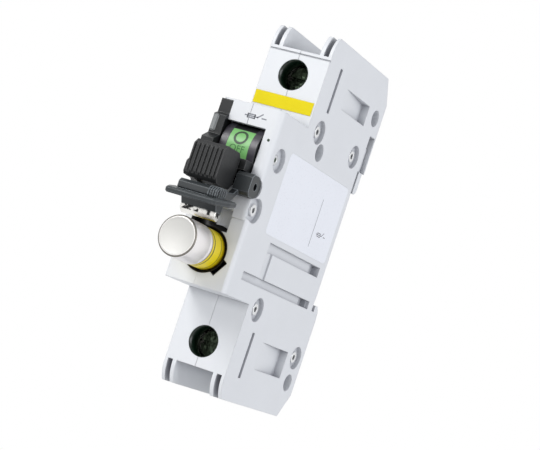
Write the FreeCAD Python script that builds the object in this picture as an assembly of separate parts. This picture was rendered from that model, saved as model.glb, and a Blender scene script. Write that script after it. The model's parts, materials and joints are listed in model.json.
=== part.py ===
import FreeCAD
import Part
import math
import os

# A one pole, rail mounted, switched holder for a 10 x 38 mm cylindrical fuse.
# Row frame: X is the width, +Y points back to the rail, +Z points up.
# The origin is the middle of the seat that rests on the rail. All sizes are millimetres.
# The rest pose is the one of the photograph: switch off, cover open, fuse drawn out.

# Housing
WIDTH = 17.5
END_Z = 47.8
FACE_END_Z = 42.1
TERMINAL_Y = -38.5
MID_Y = -54.1
MID_Z = 23.3
BACK_Y = 4.5
BACK_CORNER_Y = -0.1
BACK_CORNER_Z = 41.3
MID_EDGE_R = 2.0
CLEAR = 0.3
RUN = 0.05

# Ears beside each wire entry
EAR_OUTER_WALL = 0.9
EAR_SLOT = 1.4
EAR_INNER_WALL = 1.1
EAR_DEPTH_Y = -6.0
EAR_LEAD = 2.2
EAR_BULGE = 0.5
SEAM_HALF = 0.045
SEAM_DEPTH = 0.15
LIP_GROOVE_Z = 40.9
LIP_GROOVE_WIDTH = 0.4
LIP_GROOVE_DEPTH = 0.3
FRONT_STEP_Z = -4.95
FRONT_STEP_DEPTH = 0.3

# Marks moulded in the sides
SIDE_SLOT_Y = -30.4
SIDE_SLOT_Z = (29.5, 41.4)
SIDE_SLOT_WIDTH = 1.4
SIDE_SLOT_DEPTH = 1.0
WINDOW_Y = (-23.4, -6.2)
WINDOW_TOP_Z = (32.6, 38.1)
WINDOW_LOW_Z = (-38.1, -30.9)
WINDOW_DEPTH = 2.2
BLIND_R = 2.3
BLIND_DEPTH = 2.6
BLIND_HOLES = ((-0.3, 36.3), (-27.4, 19.5), (-0.3, -38.5))
GROOVE_TOP_Z = (-9.6, -7.0)
GROOVE_LOW_Z = (-18.4, -16.3)
GROOVE_TOP_Y = (-38.0, -3.7)
GROOVE_LOW_Y = (-47.4, -3.3)
GROOVE_STEP_Y = -34.6
GROOVE_DEPTH = 0.9
GROOVE_POCKET_Y = -12.0
GROOVE_POCKET_DEPTH = 2.4
LABEL_Y = (-42.9, -2.0)
LABEL_Z = (-5.5, 15.7)
LABEL_THICK = 0.15
LABEL_CORNER_R = 1.3
FRONT_LABEL_Z = (26.3, 29.7)
FRONT_LABEL_X = (-8.5, 8.2)

# Rivets that join the two half shells
RIVET_R = 1.5
RIVET_HOLE_R = 0.7
RIVET_HEAD_THICK = 0.6
RIVET_END_GAP = 0.15
RIVET_RECESS_R = 3.1
RIVET_RECESS_DEPTH = 1.2
RIVET_PLACES = ((-31.2, 24.0), (-5.8, 23.9), (-32.7, -23.8), (-0.3, -31.6), (-51.8, -1.8))

# Terminals
TERMINAL_Z = 35.5
ACCESS_R = 4.1
SCREW_HEAD_Y = -32.4
SCREW_HEAD_R = 3.6
SCREW_HEAD_THICK = 3.0
SCREW_R = 2.5
SCREW_SLOT = 1.0
SCREW_SLOT_DEPTH = 1.4
CAGE_HALF_X = 4.6
CAGE_HALF_Z = 4.5
CAGE_Y = (-26.0, -14.0)
CAGE_WALL_X = 1.0
CAGE_FRONT_WALL = 2.2
CAGE_REAR_WALL = 1.2
CLAMP_TRAVEL = 3.0
BAR_HALF_X = 3.2
BAR_END_MARGIN = 0.5
BAR_Y = -22.2
BAR_THICK = 1.5
ENTRY_HALF_X = 3.5

# Fuse, 10.3 x 38.1 mm, and how far it is drawn out
FUSE_R = 5.15
FUSE_CAP_SKIN = 0.2
FUSE_TUBE_R = FUSE_R - FUSE_CAP_SKIN
FUSE_LENGTH = 38.1
FUSE_CAP_LENGTH = 9.5
FUSE_CAP_WALL = 0.4
SLEEVE_THICK = 0.12
FUSE_CAP_BEVEL = 0.35
FUSE_Z = -14.3
FUSE_FRONT_Y = -69.87
FUSE_TRAVEL = 16.5
NIPPLE_R = 1.9
NIPPLE_LENGTH = 2.4
BORE_R = FUSE_R + CLEAR
MOUTH_LIP = 0.45
MOUTH_DEPTH = 0.8
FUSE_STOP_Y = FUSE_FRONT_Y + FUSE_TRAVEL + FUSE_LENGTH + NIPPLE_LENGTH + CLEAR
NOTCH_REACH = 6.8
NOTCH_HALF = 2.3
NOTCH_TURN = 34.0
NOTCH_DEPTH = 3.5

# Switch drum and handle
DRUM_Y = -48.2
DRUM_Z = 12.0
DRUM_R = 6.9
DRUM_HALF_X = 5.1
FLAG_HALF_X = 3.1
FLAG_THICK = 0.35
FLAG_SPAN = 62.0
OFF_FLAG_ANGLE = 172.0
ON_FLAG_ANGLE = 248.0
SPRING_BOX_X = (-4.6, -1.6)
TOGGLE_COIL_R = 1.85
TOGGLE_WIRE_R = 0.2
TOGGLE_COIL_TURNS = 3
PIN_R = 1.3
HEAD_X = (-4.9, 3.6)
HEAD_Y = (-67.5, -58.3)
HEAD_Z = (0.5, 9.9)
HEAD_BEVEL = 1.3
NECK_HALF_X = 3.0
NECK_Z = (4.7, 8.7)
SHOULDER_HALF_X = 5.0
SHOULDER_Y = -57.6
SHOULDER_TOP_Z = 9.0
RIB_COUNT = 7
RIB_DEPTH = 0.5
RIB_GROOVE = 0.52
WING_X = -5.5
WING_Y = (-67.2, -61.6)
WING_Z = (0.7, 4.6)
OPENING_TOP_Z = 18.0

# Dark block at the left of the drum, seen from the side as points (y, z)
LENS_BACK = 2.5
LENS_STEP_Y = -55.5
LENS_LOBE_Y = -58.0
LENS_Z = (6.7, 8.0, 12.0, 13.5, 18.5, 19.2, 22.8)

# Fuse cover that pulls the fuse
COVER_Y = -55.5
COVER_Z = 3.3
BOSS_R = 2.8
BOSS_X = (3.95, 8.4)
BOSS_BEVEL = 0.9
ARM_X = 5.5
ARM_LOW_Y = -62.6
TOP_BLOCK_Y = (-67.6, -61.6)
TOP_BLOCK_Z = (-3.4, -0.4)
TOP_BLOCK_BEVEL = 0.8
PULLER_X = (-6.0, 3.8)
PULLER_Y = (-62.0, -59.4)
PULLER_Z = (-6.9, -5.7)
PULLER_NOTCH_R = 0.45
PULLER_POCKET_X = (PULLER_X[0] - CLEAR, PULLER_X[1] + CLEAR)
PULLER_POCKET_Z = (-9.0, -3.2)
PULLER_POCKET_DEPTH = 3.8
LUG_X = (4.95, 6.05)
LUG_R = 2.1
LUG_GAP = 0.12
COVER_PIN_R = 0.9
COVER_PIN_INSET = 0.6
PLATE_THICK = 1.5
PLATE_REAR_Y = -62.6
PLATE_FRONT_Y = -70.4
PLATE_FRONT_HALF_X = 6.8
PLATE_TILT = 10.0
PLATE_LOW_Z = -3.7
PLATE_TAPER = 3.2
PLATE_CORNER_R = 1.2
PLATE_EDGE = 0.35

# Rail: 35 mm wide, 1 mm thick edges
RAIL_HALF = 17.5
RAIL_SLOT = 1.35
PAD_Z = (-15.2, 14.0)
PAD_RISE = 0.2
HOOK_TIP_Z = -16.6
HOOK_ROOT_Z = -20.5
HOOK_BACK_Y = 4.1
HOOK_BEVEL = (1.2, 1.4)
HOOK_RELIEF = 0.8
CLIP_HALF_X = 7.6
CLIP_FOOT_HALF_X = 8.5
CLIP_Y = (0.6, 3.7)
CLIP_LIP_Y = 1.4
CLIP_TIP_Z = 15.3
CLIP_FACE_Z = 21.4
CLIP_TOP_Z = 28.2
CLIP_TRAVEL = 3.0
CLIP_BEVEL = 0.9
SPRING_TOP_Z = 34.2
SPRING_WIRE_R = 0.28
SPRING_COIL_R = 0.75
SPRING_TURNS = 6
SPRING_ROOM = 0.15
COIL_SIDES = 8

# Switch mechanism behind the drum
CARRIER_Y = (-40.8, -31.0)
CARRIER_HALF_X = 3.4
CARRIER_HALF_Z = 3.2
CARRIER_Z = 10.0
BRIDGE_THICK = 1.2
BRIDGE_HALF_Z = 2.9
PAD_GAP = 1.4
FIXED_CONTACT_Y = -26.6
LINK_THICK = 1.2
LINK_FRONT_Y = MID_Y + 12.0
FUSE_STRIP_Y = (MID_Y + 4.2, MID_Y + 16.0)
FUSE_STRIP_MARGIN = 1.0
LOW_WEB_GAP = 1.7
REAR_PAD_RISE = 3.0

HALF = WIDTH / 2.0
REACH = 2 * END_Z
LENS_RIGHT_X = -DRUM_HALF_X - CLEAR
PARTS = {}


def vec(x, y, z):
    return FreeCAD.Vector(x, y, z)


def block(x, y, z):
    """A box from (low, high) pairs."""
    return Part.makeBox(x[1] - x[0], y[1] - y[0], z[1] - z[0], vec(x[0], y[0], z[0]))


def rod(axis, radius, start, end, at):
    """A cylinder along x, y or z from start to end; at holds its other two coordinates."""
    place = {"x": vec(start, at[0], at[1]), "y": vec(at[0], start, at[1]), "z": vec(at[0], at[1], start)}
    way = {"x": vec(1, 0, 0), "y": vec(0, 1, 0), "z": vec(0, 0, 1)}
    return Part.makeCylinder(radius, end - start, place[axis], way[axis])


def side_prism(points, x):
    """An outline in the YZ plane, extruded over the pair x."""
    corners = [vec(x[0], y, z) for y, z in points]
    wire = Part.makePolygon(corners + corners[:1])
    return Part.Face(wire).extrude(vec(x[1] - x[0], 0, 0))


def near(a, b):
    return abs(a - b) < 0.01


def both_sides(x):
    """The pair x and its mirror image on the other side of the seam."""
    return (x, (-x[1], -x[0]))


def fuse_all(shapes):
    joined = shapes[0]
    for shape in shapes[1:]:
        joined = joined.fuse(shape)
    return joined.removeSplitter()


def keep(name, shape):
    PARTS[name] = shape


def bevel_edges(shape, size, wanted):
    """Chamfers the edges whose middle point passes the test."""
    return shape.makeChamfer(size, [e for e in shape.Edges if wanted(e.BoundBox.Center)])


def round_edges(shape, radius, wanted):
    """Fillets the edges whose middle point passes the test."""
    edges = [e for e in shape.Edges if wanted(e.BoundBox.Center, e)]
    return shape.makeFillet(radius, edges) if edges else shape


def wedge(y, z, depth, side):
    """A side cut that deepens from nothing at y[0] to the full depth at y[1]."""
    skin = side * HALF
    floor = side * (HALF - depth)
    out = side * (HALF + 1)
    corners = [(out, y[0]), (skin, y[0]), (floor, y[1]), (out, y[1])]
    points = [vec(px, py, z[0]) for px, py in corners]
    return Part.Face(Part.makePolygon(points + points[:1])).extrude(vec(0, 0, z[1] - z[0]))


def bevelled(y, z, bevel, x):
    """A bar along X whose section is the rectangle y by z with its corners cut off."""
    points = [(y[0], z[0] + bevel), (y[0] + bevel, z[0]), (y[1] - bevel, z[0]), (y[1], z[0] + bevel),
              (y[1], z[1] - bevel), (y[1] - bevel, z[1]), (y[0] + bevel, z[1]), (y[0], z[1] - bevel)]
    return side_prism(points, x)


def rounded_plate(y, z, x, radius):
    plate = block(x, y, z)
    return plate.makeFillet(radius, [e for e in plate.Edges if e.BoundBox.XLength > (x[1] - x[0]) * 0.9])


# Housing

def outer_body():
    """The housing's outline seen from the side, with the ears' round front corners, across the width."""
    top = [(MID_Y, MID_Z), (TERMINAL_Y, MID_Z), (TERMINAL_Y, FACE_END_Z)]
    back = [(TERMINAL_Y + EAR_LEAD, END_Z), (BACK_CORNER_Y, END_Z), (BACK_Y, BACK_CORNER_Z)]
    bulge = (TERMINAL_Y + EAR_LEAD / 2 - EAR_BULGE, (FACE_END_Z + END_Z) / 2 + EAR_BULGE)
    edges = []
    for side in (1, -1):
        run = [vec(-HALF, y, side * z) for y, z in top]
        rest = [vec(-HALF, y, side * z) for y, z in back]
        edges += [Part.LineSegment(p, q).toShape() for p, q in zip(run, run[1:])]
        edges.append(Part.Arc(run[-1], vec(-HALF, bulge[0], side * bulge[1]), rest[0]).toShape())
        edges += [Part.LineSegment(p, q).toShape() for p, q in zip(rest, rest[1:])]
    for y, z in ((MID_Y, MID_Z), (BACK_Y, BACK_CORNER_Z)):
        edges.append(Part.LineSegment(vec(-HALF, y, -z), vec(-HALF, y, z)).toShape())
    wire = Part.Wire(Part.__sortEdges__(edges))
    return Part.Face(wire).extrude(vec(WIDTH, 0, 0))


def rail_recess():
    """The gap that takes the rail, with the fixed hook left below it."""
    recess = block((-HALF - 1, HALF + 1), (-PAD_RISE, BACK_Y + 1), (HOOK_ROOT_Z, CLIP_FACE_Z))
    pad = block((-HALF - 1, HALF + 1), (-PAD_RISE - 1, 0), PAD_Z)
    hook = side_prism(
        [(RAIL_SLOT, HOOK_ROOT_Z), (RAIL_SLOT, HOOK_TIP_Z), (HOOK_BACK_Y - HOOK_BEVEL[0], HOOK_TIP_Z),
         (HOOK_BACK_Y, HOOK_TIP_Z - HOOK_BEVEL[1]), (BACK_Y, HOOK_ROOT_Z)], (-HALF - 1, HALF + 1))
    below_pad = block((-HALF - 1, HALF + 1), (-1, RAIL_SLOT), (HOOK_ROOT_Z - 1, -RAIL_HALF - HOOK_RELIEF))
    return recess.cut(pad).cut(hook).cut(below_pad)


def ear_cuts(side):
    """The gap between a pair of ears and the thin slot inside each ear."""
    gap = HALF - EAR_OUTER_WALL - EAR_SLOT - EAR_INNER_WALL
    z = (FACE_END_Z, END_Z + 1) if side > 0 else (-END_Z - 1, -FACE_END_Z)
    cuts = [block((-gap, gap), (TERMINAL_Y - 1, EAR_DEPTH_Y), z)]
    slot = (HALF - EAR_OUTER_WALL - EAR_SLOT, HALF - EAR_OUTER_WALL)
    for x in both_sides(slot):
        cuts.append(block(x, (TERMINAL_Y - 1, EAR_DEPTH_Y), z))
    return cuts


def terminal_cuts(side):
    """Screw access hole, clamp space and wire entry of one terminal."""
    z = side * TERMINAL_Z
    space = CAGE_HALF_Z + CLEAR
    cuts = [rod("y", ACCESS_R, TERMINAL_Y - 1, CAGE_Y[0] - CLAMP_TRAVEL - CLEAR, (0, z))]
    deep = (CAGE_Y[0] - CLAMP_TRAVEL - CLEAR, CAGE_Y[1] + CLEAR)
    cuts.append(block((-CAGE_HALF_X - CLEAR, CAGE_HALF_X + CLEAR), deep, (z - space, z + space)))
    entry_y = (BAR_Y + BAR_THICK + CLEAR, CAGE_Y[1] - CAGE_REAR_WALL)
    entry_z = (z, FACE_END_Z + 1) if side > 0 else (-FACE_END_Z - 1, z)
    cuts.append(block((-ENTRY_HALF_X, ENTRY_HALF_X), entry_y, entry_z))
    return cuts


def side_marks():
    """Slots, windows and stepped grooves on both sides; round holes and recesses on the right one."""
    cuts = []
    for side in (1, -1):
        def skin(depth):
            return (HALF - depth, HALF + 1) if side > 0 else (-HALF - 1, -HALF + depth)

        slot_y = (SIDE_SLOT_Y - SIDE_SLOT_WIDTH / 2, SIDE_SLOT_Y + SIDE_SLOT_WIDTH / 2)
        cuts.append(block(skin(SIDE_SLOT_DEPTH), slot_y, SIDE_SLOT_Z))
        cuts.append(block(skin(SIDE_SLOT_DEPTH), slot_y, (-SIDE_SLOT_Z[1], -SIDE_SLOT_Z[0])))
        for z in (WINDOW_TOP_Z, WINDOW_LOW_Z):
            cuts.append(wedge(WINDOW_Y, z, WINDOW_DEPTH, side))
        cuts.append(block(skin(GROOVE_DEPTH), GROOVE_TOP_Y, GROOVE_TOP_Z))
        cuts.append(block(skin(GROOVE_DEPTH), GROOVE_LOW_Y, GROOVE_LOW_Z))
        step_z = (GROOVE_LOW_Z[1], GROOVE_TOP_Z[0])
        cuts.append(block(skin(GROOVE_DEPTH / 2), (GROOVE_TOP_Y[0], GROOVE_STEP_Y), step_z))
        for z in (GROOVE_TOP_Z, GROOVE_LOW_Z):
            cuts.append(wedge((GROOVE_POCKET_Y, GROOVE_TOP_Y[1]), z, GROOVE_POCKET_DEPTH, side))
    for place in BLIND_HOLES:
        cuts.append(rod("x", BLIND_R, HALF - BLIND_DEPTH, HALF + 1, place))
    for place in RIVET_PLACES + ((DRUM_Y, DRUM_Z),):
        cuts.append(rod("x", RIVET_RECESS_R, HALF - RIVET_RECESS_DEPTH, HALF + 1, place))
    return cuts


def drum_cuts():
    """The round pocket of the switch drum and the front window its handle moves in."""
    half_x = DRUM_HALF_X + CLEAR
    pocket = rod("x", DRUM_R + CLEAR, -half_x, half_x, (DRUM_Y, DRUM_Z))
    window = block((-half_x, half_x), (MID_Y - 1, DRUM_Y), (COVER_Z - 1.0, OPENING_TOP_Z))
    carrier_y = (DRUM_Y, FIXED_CONTACT_Y)
    channel = block((-CARRIER_HALF_X - CLEAR, CARRIER_HALF_X + CLEAR), carrier_y,
                    (CARRIER_Z - CARRIER_HALF_Z - CLEAR, CARRIER_Z + CARRIER_HALF_Z + CLEAR))
    return [pocket, window, channel]


def cover_cuts():
    """The hollow that each boss of the fuse cover nests in."""
    cuts = []
    for x in both_sides((BOSS_X[0] - CLEAR, HALF + 1)):
        cuts.append(rod("x", BOSS_R + CLEAR, x[0], x[1], (COVER_Y, COVER_Z)))
    return cuts


def cover_lugs():
    """The two knuckles of the housing that carry the pin of the fuse cover."""
    lugs = []
    for x in both_sides(LUG_X):
        knuckle = rod("x", LUG_R, x[0], x[1], (COVER_Y, COVER_Z))
        root = block(x, (COVER_Y, MID_Y + 4.0), (COVER_Z - 1.2, COVER_Z + LUG_R))
        lugs.append(knuckle.fuse(root))
    return lugs


def front_marks():
    """The seam between the half shells, the lip groove at the top and the step in the lower front."""
    step = block((-HALF - 1, HALF + 1), (MID_Y - 1, MID_Y + FRONT_STEP_DEPTH), (-MID_Z - 1, FRONT_STEP_Z))
    cuts = [step]
    faces = [(MID_Y, (-MID_Z, MID_Z)), (TERMINAL_Y, (MID_Z, FACE_END_Z)), (TERMINAL_Y, (-FACE_END_Z, -MID_Z))]
    for y, z in faces:
        cuts.append(block((-SEAM_HALF, SEAM_HALF), (y - 1, y + SEAM_DEPTH), z))
    lip_y = (TERMINAL_Y - 1, TERMINAL_Y + LIP_GROOVE_DEPTH)
    cuts.append(block((-HALF - 1, HALF + 1), lip_y, (LIP_GROOVE_Z, LIP_GROOVE_Z + LIP_GROOVE_WIDTH)))
    return cuts


def housing():
    body = outer_body()
    body = round_edges(body, MID_EDGE_R, lambda c, e: near(abs(c.x), HALF) and near(c.y, MID_Y))
    for cut in [rail_recess()] + ear_cuts(1) + ear_cuts(-1) + terminal_cuts(1) + terminal_cuts(-1):
        body = body.cut(cut)
    for cut in side_marks() + drum_cuts() + cover_cuts() + front_marks():
        body = body.cut(cut)
    for lug in cover_lugs():
        body = body.fuse(lug)
    for cut in inner_cuts():
        body = body.cut(cut)
    return body


def inner_cuts():
    """Bores and pockets for what the closed housing holds."""
    cuts = [rod("y", BORE_R, MID_Y - 1, FUSE_STOP_Y, (0, FUSE_Z))]
    cuts.append(rod("y", BORE_R + MOUTH_LIP, MID_Y - 1, MID_Y + MOUTH_DEPTH, (0, FUSE_Z)))
    notch_z = (FUSE_Z - NOTCH_HALF, FUSE_Z + NOTCH_HALF)
    notch = block((0, NOTCH_REACH), (MID_Y - 1, MID_Y + NOTCH_DEPTH), notch_z)
    notch.rotate(vec(0, 0, FUSE_Z), vec(0, 1, 0), NOTCH_TURN)
    cuts.append(notch)
    for y, z in RIVET_PLACES:
        cuts.append(rod("x", RIVET_R, -HALF, HALF, (y, z)))
    cuts.append(rod("x", PIN_R, -HALF, HALF, (DRUM_Y, DRUM_Z)))
    cuts.append(rod("x", COVER_PIN_R, -HALF, HALF, (COVER_Y, COVER_Z)))
    for name in CONTACT_NAMES:
        cuts.append(PARTS[name])
    mouth_y = (MID_Y - 1, MID_Y + PULLER_POCKET_DEPTH)
    cuts.append(block(PULLER_POCKET_X, mouth_y, PULLER_POCKET_Z))
    clip_room = block((-HALF - 1, HALF + 1), (CLIP_Y[0] - CLEAR, CLIP_Y[1] + CLEAR),
                      (CLIP_TIP_Z, CLIP_TOP_Z + CLIP_TRAVEL + CLEAR))
    spring_r = SPRING_COIL_R + SPRING_WIRE_R + SPRING_ROOM
    spring_room = rod("z", spring_r, CLIP_TOP_Z, SPRING_TOP_Z, (0, sum(CLIP_Y) / 2))
    cuts += [clip_room, spring_room, side_prism(lens_points(), (-HALF - 1, LENS_RIGHT_X))]
    return cuts


def lens_points():
    """The dark block seen from the side: a rounded lobe below, a strip, and the flush upper part."""
    low, lobe_low, lobe_high, step_low, step_high, flush, top = LENS_Z
    return [(MID_Y + LENS_BACK, low), (MID_Y, low), (LENS_LOBE_Y, lobe_low), (LENS_LOBE_Y, lobe_high),
            (LENS_STEP_Y, step_low), (LENS_STEP_Y, step_high), (MID_Y, flush), (MID_Y, top),
            (MID_Y + LENS_BACK, top)]


CONTACT_NAMES = ("upper_contact_bar", "lower_contact_bar", "front_fuse_contact", "rear_fuse_contact",
                 "upper_switch_contact", "lower_switch_contact")


# Terminals and contacts

def terminal(side, name):
    z = side * TERMINAL_Z
    head = rod("y", SCREW_HEAD_R, SCREW_HEAD_Y, SCREW_HEAD_Y + SCREW_HEAD_THICK, (0, z))
    shank = rod("y", SCREW_R, SCREW_HEAD_Y + SCREW_HEAD_THICK, BAR_Y - RUN, (0, z))
    slot = block((-SCREW_HEAD_R, SCREW_HEAD_R), (SCREW_HEAD_Y - 1, SCREW_HEAD_Y + SCREW_SLOT_DEPTH),
                 (z - SCREW_SLOT / 2, z + SCREW_SLOT / 2))
    keep(name + "_terminal_screw", head.fuse(shank).cut(slot))
    cage = block((-CAGE_HALF_X, CAGE_HALF_X), CAGE_Y, (z - CAGE_HALF_Z, z + CAGE_HALF_Z))
    window = block((-CAGE_HALF_X + CAGE_WALL_X, CAGE_HALF_X - CAGE_WALL_X),
                   (CAGE_Y[0] + CAGE_FRONT_WALL, CAGE_Y[1] - CAGE_REAR_WALL), (z - 9, z + 9))
    thread = rod("y", SCREW_R + RUN, CAGE_Y[0] - 1, CAGE_Y[0] + CAGE_FRONT_WALL + 1, (0, z))
    keep(name + "_terminal_clamp", cage.cut(window).cut(thread))


def contact_bars():
    bar_y = (BAR_Y, BAR_Y + BAR_THICK)
    half_x = (-BAR_HALF_X, BAR_HALF_X)
    pad_z = PAD_GAP / 2
    bar_end = TERMINAL_Z + CAGE_HALF_Z - BAR_END_MARGIN
    keep("upper_contact_bar", block(half_x, bar_y, (CARRIER_Z + pad_z, bar_end)))
    pad_y = (FIXED_CONTACT_Y, BAR_Y)
    keep("upper_switch_contact", block(half_x, pad_y, (CARRIER_Z + pad_z, CARRIER_Z + BRIDGE_HALF_Z)))
    strip_z = FUSE_Z + BORE_R
    strip_top = strip_z + LINK_THICK
    pad = block(half_x, (FIXED_CONTACT_Y, BAR_Y), (CARRIER_Z - BRIDGE_HALF_Z, CARRIER_Z - pad_z))
    drop = block(half_x, (BAR_Y - LINK_THICK, BAR_Y), (strip_top, CARRIER_Z - pad_z))
    foot = block(half_x, (LINK_FRONT_Y, BAR_Y), (strip_top, strip_top + LINK_THICK))
    keep("lower_switch_contact", fuse_all([pad, drop, foot]))
    strip_x = BAR_HALF_X - FUSE_STRIP_MARGIN
    keep("front_fuse_contact", block((-strip_x, strip_x), FUSE_STRIP_Y, (strip_z, strip_top)))
    web_top = FUSE_Z - BORE_R - LOW_WEB_GAP
    web_z = (web_top - BAR_THICK, web_top)
    low_foot = block(half_x, bar_y, (-bar_end, web_z[0]))
    low_web = block(half_x, (BAR_Y, FUSE_STOP_Y), web_z)
    keep("lower_contact_bar", fuse_all([low_foot, low_web]))
    rear = block(half_x, (FUSE_STOP_Y, FUSE_STOP_Y + BAR_THICK), (web_z[0], FUSE_Z + REAR_PAD_RISE))
    keep("rear_fuse_contact", rear)


# Switch

def handle():
    """Shoulder, neck and bevelled head; the grooves in its front face leave the ribs."""
    shoulder_z = (COVER_Z + BOSS_R + CLEAR, SHOULDER_TOP_Z)
    shoulder = block((-SHOULDER_HALF_X, SHOULDER_HALF_X), (SHOULDER_Y, DRUM_Y), shoulder_z)
    neck = block((-NECK_HALF_X, NECK_HALF_X), (HEAD_Y[1] - 1, DRUM_Y - DRUM_R / 2), NECK_Z)
    head = bevelled(HEAD_Y, HEAD_Z, HEAD_BEVEL, HEAD_X)
    pitch = (HEAD_X[1] - HEAD_X[0]) / RIB_COUNT
    groove_y = (HEAD_Y[0] - 1, HEAD_Y[0] + RIB_DEPTH)
    for i in range(RIB_COUNT):
        x = HEAD_X[0] + pitch * (i + 0.5)
        groove_x = (x - RIB_GROOVE / 2, x + RIB_GROOVE / 2)
        head = head.cut(block(groove_x, groove_y, (HEAD_Z[0] - 1, HEAD_Z[1] + 1)))
    wing = bevelled(WING_Y, WING_Z, HEAD_BEVEL / 2, (WING_X, HEAD_X[0] + 0.5))
    return [shoulder, neck, head, wing]


def toggle():
    lever = rod("x", DRUM_R, -DRUM_HALF_X, DRUM_HALF_X, (DRUM_Y, DRUM_Z))
    for piece in handle():
        lever = lever.fuse(piece)
    for name, angle in (("off_flag", OFF_FLAG_ANGLE), ("on_flag", ON_FLAG_ANGLE)):
        flag = flag_shape(angle)
        lever = lever.cut(flag)
        keep(name, flag)
    lever = lever.cut(rod("x", PIN_R + RUN, -HALF, HALF, (DRUM_Y, DRUM_Z)))
    spring_r = TOGGLE_COIL_R + TOGGLE_WIRE_R + CLEAR
    lever = lever.cut(rod("x", spring_r, SPRING_BOX_X[0], SPRING_BOX_X[1], (DRUM_Y, DRUM_Z)))
    keep("switch_toggle", lever)


def flag_shape(angle):
    """A thin curved plate let into the drum, centred on the given angle about X."""
    start = angle - FLAG_SPAN / 2
    outer = Part.makeCylinder(DRUM_R, 2 * FLAG_HALF_X, vec(0, 0, 0), vec(0, 0, 1), FLAG_SPAN)
    inner = Part.makeCylinder(DRUM_R - FLAG_THICK, 2 * FLAG_HALF_X, vec(0, 0, 0), vec(0, 0, 1), FLAG_SPAN)
    sector = outer.cut(inner)
    sector.rotate(vec(0, 0, 0), vec(0, 0, 1), start)
    # local x, y, z become row y, z, x
    turn = FreeCAD.Matrix(0, 0, 1, -FLAG_HALF_X, 1, 0, 0, DRUM_Y, 0, 1, 0, DRUM_Z, 0, 0, 0, 1)
    return sector.transformGeometry(turn)


def mechanism():
    carrier_z = (CARRIER_Z - CARRIER_HALF_Z, CARRIER_Z + CARRIER_HALF_Z)
    keep("contact_carrier", block((-CARRIER_HALF_X, CARRIER_HALF_X), CARRIER_Y, carrier_z))
    bridge_z = (CARRIER_Z - BRIDGE_HALF_Z, CARRIER_Z + BRIDGE_HALF_Z)
    bridge = block((-BAR_HALF_X, BAR_HALF_X), (CARRIER_Y[1], CARRIER_Y[1] + BRIDGE_THICK), bridge_z)
    keep("moving_contact", bridge)
    keep("toggle_pin", rod("x", PIN_R, RIVET_END_GAP - HALF, HALF - RIVET_RECESS_DEPTH, (DRUM_Y, DRUM_Z)))


# Fuse cover

def cover_arm_points():
    """An arm of the cover seen from the side; it passes below and behind the handle's head."""
    top_z = HEAD_Z[0] - CLEAR - 0.2
    return [(COVER_Y - 0.7, COVER_Z + BOSS_R - 0.3), (COVER_Y - 2.1, COVER_Z + 1.3),
            (COVER_Y - 2.4, COVER_Z - 1.7), (COVER_Y - 4.1, top_z),
            (ARM_LOW_Y, TOP_BLOCK_Z[1]), (ARM_LOW_Y, TOP_BLOCK_Z[0] + 1.0),
            (COVER_Y - 4.7, TOP_BLOCK_Z[0] + 1.2), (COVER_Y - 1.3, COVER_Z - BOSS_R + 0.5)]


def cover_stem():
    """The neck below the plate that holds the puller clip."""
    neck = block(PULLER_X, PULLER_Y, (PULLER_Z[1], PLATE_LOW_Z + PLATE_THICK))
    web = side_prism([(ARM_LOW_Y - 0.9, PLATE_LOW_Z), (PULLER_Y[0], PULLER_Z[1]), (PULLER_Y[0], PLATE_LOW_Z)],
                     PULLER_X)
    return [neck, web]


def fuse_cover():
    shapes = [cover_plate()] + cover_stem()
    for x in both_sides(BOSS_X):
        shapes.append(rod("x", BOSS_R, x[0], x[1], (COVER_Y, COVER_Z)))
    flat_y, flat_z = (COVER_Y - BOSS_R, COVER_Y), (COVER_Z - BOSS_R, COVER_Z + BOSS_R)
    shapes.append(bevelled(flat_y, flat_z, BOSS_BEVEL, BOSS_X))
    for x in both_sides((BOSS_X[0], ARM_X)):
        shapes.append(side_prism(cover_arm_points(), x))
    shapes.append(bevelled(TOP_BLOCK_Y, TOP_BLOCK_Z, TOP_BLOCK_BEVEL, (-ARM_X, ARM_X)))
    cover = fuse_all(shapes)
    for x in both_sides((LUG_X[0] - LUG_GAP, LUG_X[1] + LUG_GAP)):
        cover = cover.cut(rod("x", LUG_R + CLEAR, x[0], x[1], (COVER_Y, COVER_Z)))
        cover = cover.cut(block(x, (COVER_Y, COVER_Y + 4), (COVER_Z - LUG_R - 1, COVER_Z + LUG_R + 1)))
    cover = cover.cut(rod("x", COVER_PIN_R + RUN, -HALF, HALF, (COVER_Y, COVER_Z)))
    keep("fuse_cover", cover)
    pin_end = BOSS_X[1] - COVER_PIN_INSET
    keep("cover_pin", rod("x", COVER_PIN_R, -pin_end, pin_end, (COVER_Y, COVER_Z)))
    clip = block(PULLER_X, PULLER_Y, PULLER_Z)
    notch = rod("x", PULLER_NOTCH_R, -HALF, HALF, (sum(PULLER_Y) / 2, PULLER_Z[0]))
    keep("fuse_puller_clip", clip.cut(notch))


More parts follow.
